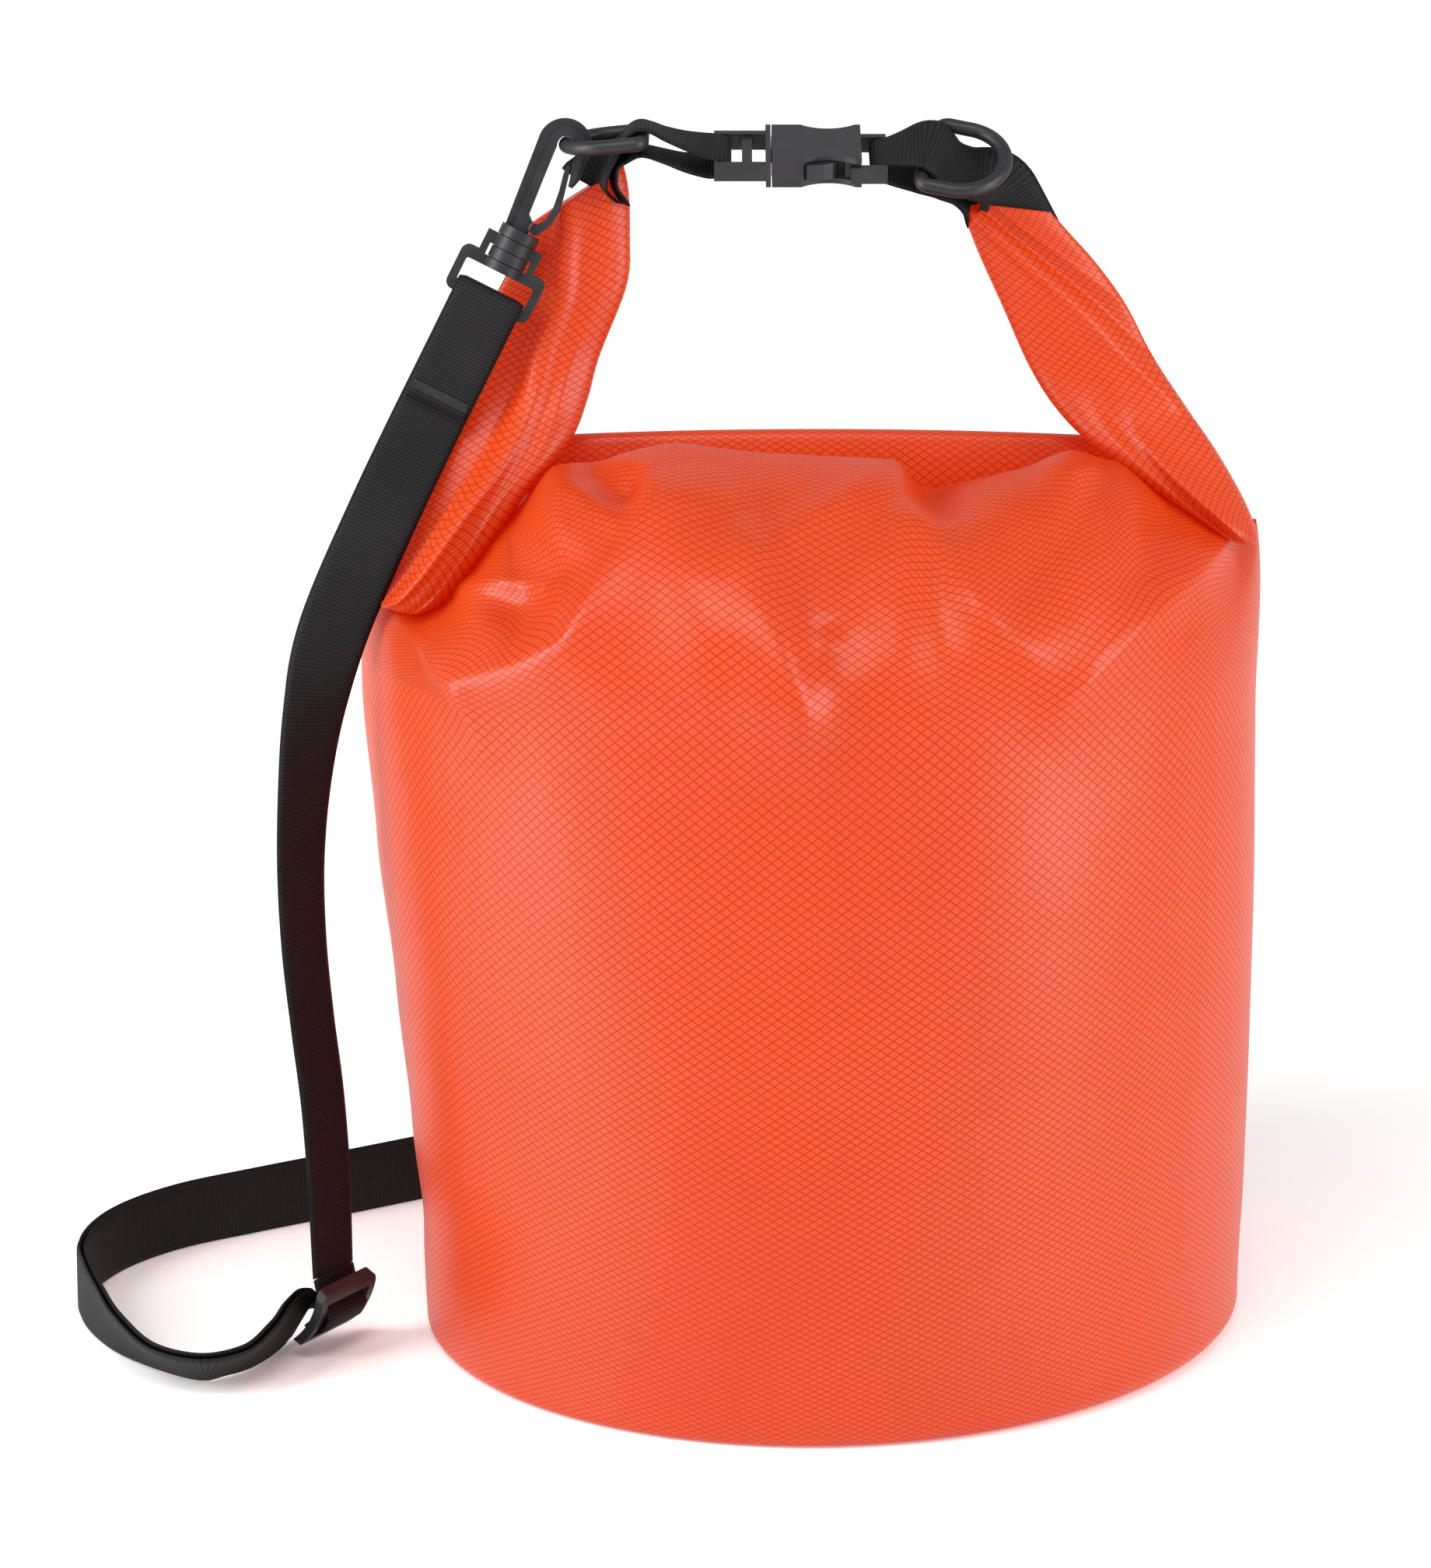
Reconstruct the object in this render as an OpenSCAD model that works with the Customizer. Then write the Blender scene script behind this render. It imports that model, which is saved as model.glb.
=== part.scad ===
// Roll-top dry bag, closed and buckled into a carry handle, with its shoulder strap.
// Millimetres. +Z is up, the bag's front faces -Y, and the bag stands on Z = 0.

/* [Bag] */
// Diameter of the round base
base_d = 239; // [237:1:240]
// Width of the body where it is widest
body_w = 256; // [254:1:257]
// Thickness of the coated fabric with its welds
wall = 1.2; // [0.8:0.1:1.4]
// Radius of the rounded bottom edge
base_edge_r = 11; // [9:1:12]

/* [Rolled mouth] */
// Height of the flattened roll, standing on edge
roll_w = 26; // [24:1:27]
// Thickness of the roll
roll_t = 9; // [8:0.5:9]
// Thickness of the stiffener strip in the hem
stiffener_t = 1; // [0.8:0.1:1.2]

/* [Webbing and plastic] */
// Width of the webbing
web_w = 20; // [19:0.5:20]
// Thickness of the webbing
web_t = 1.3; // [1.1:0.1:1.3]
// Width of the slots that the webbing runs through
slot_w = 20.8; // [20.6:0.1:21]
// Diameter of the D-ring's bar
ring_bar_d = 4.1; // [3.9:0.1:4.2]
// Radius of the post in the swivel hook
post_r = 3.1; // [3:0.05:3.15]
// Gap between moving plastic pieces
play = 0.25; // [0.2:0.01:0.26]

/* [Hidden] */

fabric = "orangered";
black = [0.12, 0.12, 0.13];
plastic = [0.17, 0.17, 0.19];

base_x = 7.5;                 // the body leans, so its base is off the frame's centre
base_r = base_d / 2;
half_w = body_w / 2;
rim_z = 14;                   // where the base panel's rim meets the tube

// Body's outline from the rim up over the shoulder and down into the trough beside
// the roll: height, half width, half depth and centre of each ring
body_profile = [
    [rim_z, base_r, base_r, base_x], [30, base_r + 1, base_r, base_x - 1],
    [60, base_r + 2.6, base_r - 1.4, 4.9], [100, base_r + 4.3, base_r - 3.7, 3.2],
    [140, base_r + 6.3, base_r - 6, 1.5], [175, half_w - 0.8, base_r - 8.4, 0.2],
    [200, half_w, base_r - 10, 0], [215, half_w - 0.4, base_r - 15, 0],
    [228, half_w - 3, base_r - 25, 0], [238, half_w - 9, base_r - 40, 0.5],
    [246, half_w - 18, base_r - 60, 1], [252, half_w - 32, base_r - 79, 2],
    [255, half_w - 44, base_r - 96, 2], [253, half_w - 50, 12, 2],
    [246, half_w - 52, 7.5, 2], [238, half_w - 53, roll_t / 2 + 0.4, 2]];

near_at = [-89, -13, 306];    // centre of the near loop's webbing slot
near_lean = -8;
near_tilt = 26.6;
far_at = [30, 141, 13.6];     // centre of the far loop's webbing slot
left_ring_at = [-48, -6, 346];
right_ring_at = [32.4, -5.6, 341.3];
buckle_at = [-11.9, -5, 340.6];
buckle_tilt = 13;
slider_at = [-136.4, -38.2, 12.2];
slider_turn = [0, -60, -31.4];

// The strap's middle line and the direction across it, from the near loop's bar
// down to the slider
upper_route = [
    [[-92.6, -10.7, 298.4], [0.894, -0.06, -0.44]],
    [[-96.6, -14.2, 290.8], [0.894, -0.06, -0.44]],
    [[-100.6, -15.5, 282.9], [0.894, -0.06, -0.44]],
    [[-109.2, -17.8, 266], [0.894, -0.06, -0.44]], [[-121, -31.5, 242.6], [0.88, -0.12, -0.45]],
    [[-134, -38.5, 213], [0.87, 0.12, -0.4]], [[-139.8, -38.4, 190], [0.8, 0.5, -0.25]],
    [[-143, -37.6, 167.3], [0.7, 0.7, -0.12]], [[-144.5, -37, 144], [0.62, 0.78, -0.04]],
    [[-144, -37, 121], [0.58, 0.81, 0]], [[-142, -37, 98], [0.56, 0.83, 0]],
    [[-139.5, -37, 75], [0.56, 0.83, 0]], [[-138, -37, 51], [0.56, 0.83, 0]],
    [[-137.6, -37.4, 36], [0.54, 0.84, 0]], [[-137.3, -37.7, 23.7], [0.52, 0.85, 0]]];
// and from the slider round over the floor to the far loop's bar
lower_route = [
    [[-143.9, -33.5, 10.3], [0.52, 0.85, 0]], [[-147, -36.2, 10], [-0.3, 0.5, -0.8]],
    [[-150, -41.5, 10], [-0.35, 0.15, -0.92]], [[-153, -50, 9.8], [-0.4, 0.12, -0.9]],
    [[-157, -61, 9.2], [-0.5, 0.3, -0.81]], [[-163.5, -70, 8], [-0.4, 0.68, -0.62]],
    [[-172, -75, 7.8], [0, 0.8, -0.6]], [[-183, -69.5, 8.2], [0.38, 0.65, -0.66]],
    [[-194, -56, 9.7], [0.4, 0.3, -0.87]], [[-203, -38, 10.1], [0.15, 0.1, -0.98]],
    [[-210, -18, 10.2], [0, 0, -1]], [[-213, 0, 10.2], [0, 0, -1]],
    [[-210, 19, 10.2], [0, 0, -1]], [[-202, 36, 10.2], [0, 0, -1]],
    [[-188, 52, 10.2], [0, 0, -1]], [[-168, 66, 10.2], [0, 0, -1]],
    [[-145, 81, 10.2], [0, 0, -1]], [[-121, 97, 10.2], [0, 0, -1]],
    [[-98, 112, 10.4], [0, 0, -1]], [[-74, 125, 11], [0, 0, -1]],
    [[-48, 134, 12], [0, 0, -1]], [[-22, 138.6, 13], [0, 0, -1]],
    [[2, 140.8, 13.6], [0, 0, -1]], [[14.6, 141, 13.6], [0, 0, -1]]];

function unit(v) = v / norm(v);
function in_plane(v, t) = unit(v - (v * t) * t);
function spline(a, b, c, d, t) = 0.5 * (2 * b + (c - a) * t
    + (2 * a - 5 * b + 4 * c - d) * t * t + (3 * b - a - 3 * c + d) * t * t * t);
// A route with one more station between each two
function refine(r) = let (n = len(r) - 1) concat(
    [for (i = [0:1:n - 1]) for (t = [0, 0.5])
        let (a = r[max(i - 1, 0)], b = r[i], c = r[i + 1], d = r[min(i + 2, n)])
        [for (k = [0, 1]) spline(a[k], b[k], c[k], d[k], t)]],
    [r[n]]);

// A closed surface through rings of points, capped at both ends or run into a loop. The
// two faces of a ribbon are split along the same diagonal, so a twist keeps its thickness
module skin(rings, loop = false) {
    n = len(rings[0]);
    m = len(rings);
    sides = [for (i = [0:1:m - (loop ? 1 : 2)]) for (j = [0:1:n - 1])
        let (a = i * n + j, b = i * n + (j + 1) % n,
            c = ((i + 1) % m) * n + (j + 1) % n, d = ((i + 1) % m) * n + j)
        each j < n / 2 ? [[a, d, c], [a, c, b]] : [[a, d, b], [b, d, c]]];
    caps = loop ? [] : [[for (j = [0:1:n - 1]) j], [for (j = [n - 1:-1:0]) (m - 1) * n + j]];
    polyhedron([for (r = rings) each r], concat(sides, caps));
}

// Webbing along a route, shifted off its middle line by off
module webbing(route, off = 0, w = web_w, t = web_t) {
    n = len(route) - 1;
    skin([for (i = [0:1:n])
        let (tangent = unit(route[min(i + 1, n)][0] - route[max(i - 1, 0)][0]),
            across = in_plane(route[i][1], tangent),
            face = cross(tangent, across))
        [for (c = [[-1, -1], [1, -1], [1, 1], [-1, 1]])
            route[i][0] + across * c[0] * w / 2 + face * (off + c[1] * t / 2)]]);
}

// An oval bundle of cloth: stations are centre, half width and half thickness
module bundle(stations, across, core = 0) {
    n = len(stations) - 1;
    skin([for (i = [0:1:n])
        let (s = stations[i], u = is_list(across[0]) ? across[i] : across)
        [for (j = [0:1:23])
            s[0] + unit(u) * (s[1] - core) * cos(j * 15)
                + [0, 1, 0] * (s[2] - core) * sin(j * 15)]]);
}

module rounded_plate(w, h, r, t) {
    linear_extrude(t, center = true) {
        square([w - 2 * r, h], center = true);
        square([w, h - 2 * r], center = true);
        for (x = [-1, 1], y = [-1, 1])
            translate([x * (w / 2 - r), y * (h / 2 - r)]) circle(r, $fn = 32);
    }
}

module at_near() {
    translate(near_at) rotate([near_lean, 0, 0]) rotate([0, near_tilt, 0]) children();
}

// The far hook lies on the floor behind the bag, with its post along +X
module at_far() {
    translate(far_at) rotate([0, 90, 0]) children();
}

module at_buckle() {
    translate(buckle_at) rotate([buckle_tilt, 0, 0]) children();
}

// ---- bag ----

// Rings of the tube, moved inwards by t along the profile's own normal
function tube_rings(t) = let (n = len(body_profile) - 1) [for (i = [0:1:n])
    let (p = body_profile[i], a = body_profile[max(i - 1, 0)], b = body_profile[min(i + 1, n)],
        d = unit([b[2] - a[2], b[0] - a[0]]),
        out = i == 0 ? [1, 0] : i == n ? [-1, 0] : [d[1], -d[0]])
    [for (j = [0:1:47])
        [p[3] + (p[1] - t * out[0]) * cos(j * 7.5), (p[2] - t * out[0]) * sin(j * 7.5),
            p[0] - t * out[1]]]];

module body_tube() {
    inner = tube_rings(wall);
    color(fabric) skin(concat(tube_rings(0),
        [for (i = [len(inner) - 1:-1:0]) inner[i]]), loop = true);
}

module base_panel() {
    r = base_edge_r;
    color(fabric) translate([base_x, 0, 0]) rotate_extrude($fn = 96) {
        square([base_r - r, wall]);
        translate([base_r - wall, r]) square([wall, rim_z - r]);
        translate([base_r - r, r]) difference() {
            circle(r, $fn = 48);
            circle(r - wall, $fn = 48);
            translate([-r, 0]) square([2 * r, r]);
            translate([-r, -r]) square([r, 2 * r]);
        }
    }
}

// Heat-sealed tape inside the joint of tube and base
module base_seam_tape() {
    tape_t = 0.5;
    outer = base_r - wall - 0.6;
    color("coral") translate([base_x, 0, rim_z - 3]) difference() {
        cylinder(h = 17, r = outer, $fn = 96);
        translate([0, 0, -1]) cylinder(h = 19, r = outer - tape_t, $fn = 96);
    }
}

// Tape inside the upright seam at the back
module back_seam_tape() {
    tape_w = 14;
    clear = wall + 1.4;
    color("coral") webbing([for (p = [for (i = [1:1:8]) body_profile[i]])
        [[p[3], p[2] - clear - (p[0] < 40 ? 1.2 : 0), p[0] < 40 ? 33 : p[0]], [1, 0, 0]]],
        0, tape_w, 0.4);
}

// Middle of the rolled mouth, standing on edge between the shoulders
module rolled_mouth() {
    top_z = 262;
    mid_z = top_z - roll_w / 2;
    color(fabric) difference() {
        translate([2, 0, mid_z]) rotate([90, 0, 90])
            rounded_plate(roll_t, roll_w, roll_t / 2 - 0.1, 150);
        translate([2, 0, mid_z]) cube([160, stiffener_t + 1, 21], center = true);
    }
}

module mouth_stiffener() {
    color("ivory") translate([2, 0, 262 - roll_w / 2])
        cube([140, stiffener_t, 20], center = true);
}

// The roll's ends turn up at the body's corners and lean in towards the buckle
module left_arm() {
    color(fabric) bundle([
        [[-97, 0, 250], 19, 13], [[-88, 0, 268], 17.5, 11.5], [[-80, 0, 285], 16.5, 10],
        [[-73, 0, 303], 16, 8.6], [[-67.5, 0, 317], 15.5, 8], [[-66.6, 0, 328.4], 15, 7]],
        [[0.86, 0, 0.5], [0.9, 0, 0.43], [0.92, 0, 0.38], [0.94, 0, 0.33], [0.94, 0, 0.35],
            [0.85, 0, 0.53]]);
}

module right_arm() {
    color(fabric) bundle([
        [[106, 0, 248], 18, 13], [[95, 0, 261], 16, 11.5], [[79, 0, 281], 15, 10],
        [[69, 0, 299], 14.5, 8.6], [[59, 0, 315], 13.5, 8], [[54, 0, 325.4], 12.6, 7]],
        [[0.76, 0, 0.65], [0.78, 0, 0.62], [0.82, 0, 0.57], [0.88, 0, 0.48],
            [0.94, 0, 0.33], [0.993, 0, -0.12]]);
}

// ---- carry handle ----

left_leg = [
    [[-62, -1.5, 331.5], [0.8, -0.45, 0.4]], [[-59.6, -4, 336.4], [0.42, -0.9, 0.12]],
    [[-55.8, -5.8, 342], [0.15, -0.98, 0]], [[-53, -6, 346], [0, -1, 0]],
    [[-51, -6, 348.3], [0, -1, 0]], [[-48.4, -6, 349.3], [0, -1, 0]],
    [[-45.2, -6, 348.6], [0, -1, 0]], [[-41.5, -5.9, 346.9], [0, -1, -0.04]],
    [[-36, -5.6, 345], [0, -1, -0.12]], [[-30.2, -5.4, 343.5], [0, -0.974, -0.225]],
    [[-26.6, -5.5, 343.1], [0, -0.974, -0.225]], [[-24.4, -5.3, 342.2], [0, -0.974, -0.225]],
    [[-23.7, -5, 340.6], [0, -0.974, -0.225]], [[-24.4, -4.7, 338.9], [0, -0.974, -0.225]],
    [[-26.6, -4.5, 338.1], [0, -0.974, -0.225]], [[-30.2, -4.5, 337.9], [0, -0.974, -0.225]],
    [[-36, -5, 338.7], [0, -1, -0.12]], [[-42, -5.6, 340.6], [0, -1, -0.04]],
    [[-47.6, -6, 342.1], [0, -1, 0]], [[-51.4, -5.6, 341], [0.1, -0.99, 0]],
    [[-54.4, -4.6, 339.2], [0.3, -0.95, 0.05]], [[-57.6, -3, 335.2], [0.62, -0.75, 0.2]],
    [[-59.6, -1.4, 330.4], [0.8, -0.45, 0.4]]];

right_leg = [
    [[55, -1, 326.5], [0.95, 0.1, 0.3]], [[52.5, -1.8, 331], [0.9, 0.35, 0.25]],
    [[48.5, -3.2, 334.2], [0.7, 0.65, 0.3]], [[43.6, -4.5, 335.6], [0.45, 0.77, 0.45]],
    [[39.1, -5.4, 337.5], [0.276, 0.792, 0.544]], [[36.6, -6.4, 340.4], [0.276, 0.792, 0.544]],
    [[34.3, -7.5, 343.3], [0.276, 0.792, 0.544]], [[31.2, -7.1, 344.2], [0.276, 0.792, 0.544]],
    [[26.6, -6.7, 343.6], [0.2, 0.87, 0.45]],
    [[22, -5.9, 342.6], [0.08, 0.95, 0.3]], [[18.9, -5.3, 341.7], [0, 0.974, 0.225]],
    [[16.8, -5, 340.8], [0, 0.974, 0.225]], [[16.1, -4.7, 339.1], [0, 0.974, 0.225]],
    [[16.8, -4.3, 337.4], [0, 0.974, 0.225]], [[18.9, -4.1, 336.6], [0, 0.974, 0.225]],
    [[23.5, -3.8, 335.6], [0.03, 0.96, 0.28]], [[29, -3.2, 335.2], [0.12, 0.9, 0.42]],
    [[34.5, -2.4, 334.8], [0.3, 0.82, 0.49]], [[40, -1.2, 333.4], [0.45, 0.77, 0.4]],
    [[45.2, -0.2, 330.6], [0.7, 0.65, 0.25]], [[49.5, 0.8, 326.8], [0.95, 0.3, -0.1]]];

module left_handle_webbing() { color(black) webbing(left_leg); }
module right_handle_webbing() { color(black) webbing(right_leg); }

// D-ring: straight bar along Y, round end towards +X
module d_ring() {
    r = ring_bar_d / 2;
    half = slot_w / 2 + 0.1 + r;
    corner = r + 0.5;
    far = 21.3 - half;
    rotate([90, 0, 0]) cylinder(h = 2 * (half - corner), r = r, center = true, $fn = 32);
    for (s = [-1, 1]) {
        translate([corner, s * half, 0]) rotate([0, 90, 0])
            cylinder(h = far - corner, r = r, $fn = 32);
        translate([corner, s * (half - corner), 0]) rotate([0, 0, s > 0 ? 90 : 180])
            rotate_extrude(angle = 90, $fn = 64) translate([corner, 0]) circle(r, $fn = 32);
    }
    translate([far, 0, 0]) rotate([0, 0, -90])
        rotate_extrude(angle = 180, $fn = 96) translate([half, 0]) circle(r, $fn = 32);
}

module left_ring() {
    color(plastic) translate(left_ring_at) rotate([0, 5.7, 180]) d_ring();
}

module right_ring() {
    color(plastic) translate(right_ring_at) rotate([34.5, 0, 0]) rotate([0, 0, -16]) d_ring();
}

// ---- side-release buckle: X along it, male frame on the -X side ----

buckle_w = 26;
buckle_t = 8.4;
rail_in = slot_w / 2;
sleeve_end = 9.4;
catch_x = sleeve_end + play;

module bar(x0, x1, half_w, z0, z1) {
    translate([x0, -half_w, z0]) cube([x1 - x0, 2 * half_w, z1 - z0]);
}

module buckle_male() {
    w = buckle_w / 2;
    color(plastic) at_buckle() {
        for (s = [-1, 1]) {
            translate([-16, s > 0 ? rail_in : -w, -2.4]) cube([14.8, w - rail_in, 4.8]);
        }
        translate([-14.4, 0, 0]) rotate([90, 0, 0])
            cylinder(h = buckle_w - 1, r = 1.5, center = true, $fn = 32);
        bar(-8.2, -5.4, w - 1, -1.2, 1.6);
        bar(-1.6, -0.2, w, -buckle_t / 2, buckle_t / 2);
        bar(-0.3, 14, 2, -1.3, 1.3);
    }
}

// One prong: a springy stem from its root and a wide head that catches behind the sleeve
module prong(side) {
    color(plastic) at_buckle() mirror([0, side > 0 ? 0 : 1, 0])
        linear_extrude(4.6, center = true) {
            translate([1.1, 8.8]) circle(1.15, $fn = 32);
            polygon([[0.9, 7.7], [9, 7.4], [catch_x, 6.9], [17.6, 6.7], [18.6, 7.6],
                [18.5, 9], [17, 11], [14.6, 12.4], [12.2, 12.9], [catch_x, 12.9],
                [catch_x, 9.9], [0.9, 9.9]]);
        }
}

module buckle_prong_rear() { prong(1); }
module buckle_prong_front() { prong(-1); }

// The sides curve in, where finger and thumb reach the prongs
module waist() {
    for (s = [-1, 1])
        translate([15.8, s * (buckle_w / 2 + 8), 0])
            cylinder(h = 2 * buckle_t, r = 11, center = true, $fn = 96);
}

module buckle_female() {
    w = buckle_w / 2;
    t = buckle_t / 2;
    inner_t = 2.6;
    color(plastic) at_buckle() {
        difference() {
            bar(0.1, sleeve_end, w, -t, t);
            bar(0, sleeve_end + 1, w - 1.7, -inner_t, inner_t);
            waist();
        }
        for (s = [-1, 1]) {
            difference() {
                bar(sleeve_end - 0.1, 25, w, s > 0 ? inner_t : -t, s > 0 ? t : -inner_t);
                waist();
            }
            translate([22, s > 0 ? rail_in : -w, -3.2]) cube([10.2, w - rail_in, 4.6]);
        }
        bar(20.4, 24.9, rail_in + 0.1, -inner_t - 0.1, inner_t + 0.1);
        translate([30.6, 0, -1.5]) rotate([90, 0, 0])
            cylinder(h = buckle_w - 1, r = 1.5, center = true, $fn = 32);
    }
}

// ---- swivel hook: Z along the post, X towards the gate ----

eye_r = 3;
eye_at = [1.1, 43.1];
collar_r = 5.7;
loop_top = 13;
head_z = 9.6 - play;
gate_pivot = [3.4, 18.4];

module flat(t) { rotate([90, 0, 0]) linear_extrude(t, center = true) children(); }

module hook_body() {
    translate([0, 0, 6 + play]) cylinder(h = head_z - 6 - play, r = 5.5, $fn = 48);
    translate([0, 0, head_z - 0.1]) cylinder(h = loop_top - head_z + 0.5, r = post_r, $fn = 48);
    translate([0, 0, loop_top + play]) cylinder(h = 3, r = collar_r, $fn = 48);
    // flat J with the eye at its top
    flat(2.6) difference() {
        union() {
            translate([0.3, 43]) circle(7.6, $fn = 64);
            polygon([[-7.3, 43], [3, 43], [3, 19], [1.6, 15.5], [-4.8, 15.5]]);
            polygon([[1, 43], [7.9, 43], [8.3, 36], [7.5, 33.2], [6.2, 33.2], [5.5, 36], [4.5, 39]]);
        }
        translate(eye_at) circle(eye_r, $fn = 48);
        polygon([[-1.7, 43.1], [3.9, 43.1], [4.5, 39], [5.5, 36], [6.2, 33.2], [6.2, 30],
            [5, 20], [1.5, 20], [-0.1, 21.4], [-1, 33]]);
        translate(gate_pivot) circle(1.7 + play, $fn = 32);
    }
    // raised band along the inside
    flat(5) difference() {
        union() {
            translate(eye_at) circle(eye_r + 2.4, $fn = 48);
            polygon([[-4.1, 43.1], [3, 43], [3, 19], [0.4, 15.6], [-2.6, 15.6]]);
            polygon([[3, 43.1], [6.3, 43.1], [7.4, 36], [6.9, 33.6], [6.2, 33.6], [5.5, 36],
                [4.5, 39]]);
        }
        translate(eye_at) circle(eye_r, $fn = 48);
        polygon([[-1.7, 43.1], [3.9, 43.1], [4.5, 39], [5.5, 36], [6.2, 33.2], [6.2, 30],
            [5, 20], [1.5, 20], [-0.1, 21.4], [-1, 33]]);
        translate(gate_pivot) circle(1.7 + play, $fn = 32);
    }
}

module gate_body() {
    flat(4) {
        translate(gate_pivot) circle(1.7, $fn = 32);
        polygon([[3, 19.6], [5, 18], [6.8, 21.4], [7.2, 26], [6.2, 31], [5, 36], [4.4, 38.2],
            [3.2, 38.2], [3.5, 35.6], [4.5, 31], [5.1, 26], [4.7, 22]]);
    }
}

module loop_body() {
    difference() {
        union() {
            rotate([90, 0, 0]) difference() {
                rounded_plate(25.6, 13.6, 2.4, 3.4);
                translate([0, -0.3, 0]) rounded_plate(slot_w, 7, 0.8, 5);
            }
            translate([0, 0, 6.5]) rotate([90, 0, 0]) linear_extrude(3.4, center = true)
                translate([-8.4, 0]) square([16.8, loop_top - 6.5]);
            translate([0, 0, 3.4]) cylinder(h = loop_top - 3.4, r = collar_r, $fn = 48);
        }
        translate([0, 0, 7.8]) cube([12.6, 14, 3.6], center = true);
        translate([0, 0, 8]) cylinder(h = 6, r = post_r + 0.06, $fn = 48);
    }
}

module near_hook() { color(plastic) at_near() hook_body(); }
module near_gate() { color(plastic) at_near() gate_body(); }
module near_loop() { color(plastic) at_near() loop_body(); }
module far_hook() { color(plastic) at_far() hook_body(); }
module far_gate() { color(plastic) at_far() gate_body(); }
module far_loop() { color(plastic) at_far() loop_body(); }

// ---- shoulder strap ----

// Tri-glide: an arched plate with a slot on each side of its middle bar
module strap_slider() {
    arch_r = 24;
    plate_t = 2.6;
    color(plastic) translate(slider_at) rotate(slider_turn) intersection() {
        difference() {
            rounded_plate(19.6, 26.6, 2.6, 12);
            for (s = [-1, 1])
                translate([s * 4.1, 0, 0]) cube([4.6, slot_w, 20], center = true);
        }
        translate([0, 0, arch_r - plate_t / 2 - 1]) rotate([90, 0, 0]) difference() {
            cylinder(h = 40, r = arch_r, center = true, $fn = 96);
            cylinder(h = 42, r = arch_r - plate_t, center = true, $fn = 96);
        }
    }
}

module strap_upper_run() { color(black) webbing(refine(upper_route)); }
module strap_lower_run() { color(black) webbing(refine(lower_route), -0.9); }

// The strap's second layer, back from the far loop's bar to the slider
module strap_return() {
    color(black) webbing(refine([for (i = [1:1:len(lower_route) - 2]) lower_route[i]]), 0.9);
}

// The strap where it rides over the slider's middle bar
wave = [[9.2, 6.3], [6.9, 4], [4.6, 0.6], [2.5, -2.9], [0.9, -3.5], [-0.9, -3.5], [-2.5, -2.9],
    [-4, -0.2], [-4.9, 2.4]];
module strap_slider_wave() {
    color(black) translate(slider_at) rotate(slider_turn)
        webbing([for (p = wave) [[p[0], 0, p[1]], [0, 1, 0]]], 0, web_w, 1.2);
}

// The strap turned round a loop's bar, as [Y, Z] in that loop's frame. The near end is sewn
// down on its own front, and the far turn runs back to the slider
fold = [[3.4, -7.7], [3.4, -4.4], [2.4, -2.7], [0, -2.3], [-2.4, -2.7], [-3.4, -4.4], [-3.4, -7.7]];
module turn(tail) {
    webbing([for (p = concat(fold, tail)) [[0, p[0], p[1]], [1, 0, 0]]]);
}

module strap_near_fold() {
    color(black) at_near() turn([[-2.6, -12], [-1.1, -17], [-0.95, -26], [-0.95, -38]]);
}

module strap_far_turn() {
    color(black) at_far() turn([[-2.6, -11], [-0.8, -15]]);
}

// Bar tack: a row of stitches through both layers
module strap_near_tack() {
    color([0.2, 0.2, 0.21]) at_near() translate([0, -1.8, -35])
        cube([web_w - 3, 0.3, 2.4], center = true);
}

body_tube();
base_panel();
base_seam_tape();
back_seam_tape();
rolled_mouth();
left_arm();
right_arm();
mouth_stiffener();
left_handle_webbing();
right_handle_webbing();
left_ring();
right_ring();
buckle_male();
buckle_prong_rear();
buckle_prong_front();
buckle_female();
near_hook();
near_gate();
near_loop();
far_hook();
far_gate();
far_loop();
strap_slider();
strap_upper_run();
strap_slider_wave();
strap_lower_run();
strap_return();
strap_near_fold();
strap_far_turn();
strap_near_tack();
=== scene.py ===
"""Roll-top dry bag, closed and buckled into a carry handle, with its shoulder strap.

Metres. +Z is up, the bag's front faces -Y, and it stands on Z = 0.
"""
import math

import bmesh
import bpy
from mathutils import Matrix, Vector


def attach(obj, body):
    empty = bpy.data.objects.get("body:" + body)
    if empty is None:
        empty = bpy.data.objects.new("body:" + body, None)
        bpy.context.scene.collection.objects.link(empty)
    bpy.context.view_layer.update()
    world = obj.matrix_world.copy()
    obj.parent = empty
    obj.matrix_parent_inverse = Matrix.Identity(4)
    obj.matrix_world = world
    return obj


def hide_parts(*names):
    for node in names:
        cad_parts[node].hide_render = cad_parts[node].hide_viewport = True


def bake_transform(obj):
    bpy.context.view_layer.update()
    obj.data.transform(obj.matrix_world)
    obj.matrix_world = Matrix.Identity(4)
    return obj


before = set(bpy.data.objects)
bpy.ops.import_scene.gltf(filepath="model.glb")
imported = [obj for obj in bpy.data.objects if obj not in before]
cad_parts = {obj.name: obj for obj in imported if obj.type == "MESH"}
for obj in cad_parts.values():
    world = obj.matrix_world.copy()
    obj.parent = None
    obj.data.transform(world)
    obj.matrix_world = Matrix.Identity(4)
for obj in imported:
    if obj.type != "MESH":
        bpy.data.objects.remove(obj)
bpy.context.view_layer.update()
MM = 0.001


# ---- camera ----
# A long lens 1.8 m away, looking a little down on the bag's front. The aim lies left of
# the bag's middle, so that the strap on the floor is in the picture as well.

camera_aim = Vector((-27.5, 0, 158)) * MM
camera_distance = 1.8
camera_rise = math.radians(14.6)
camera_back = Vector((0, -math.cos(camera_rise), math.sin(camera_rise)))

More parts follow.
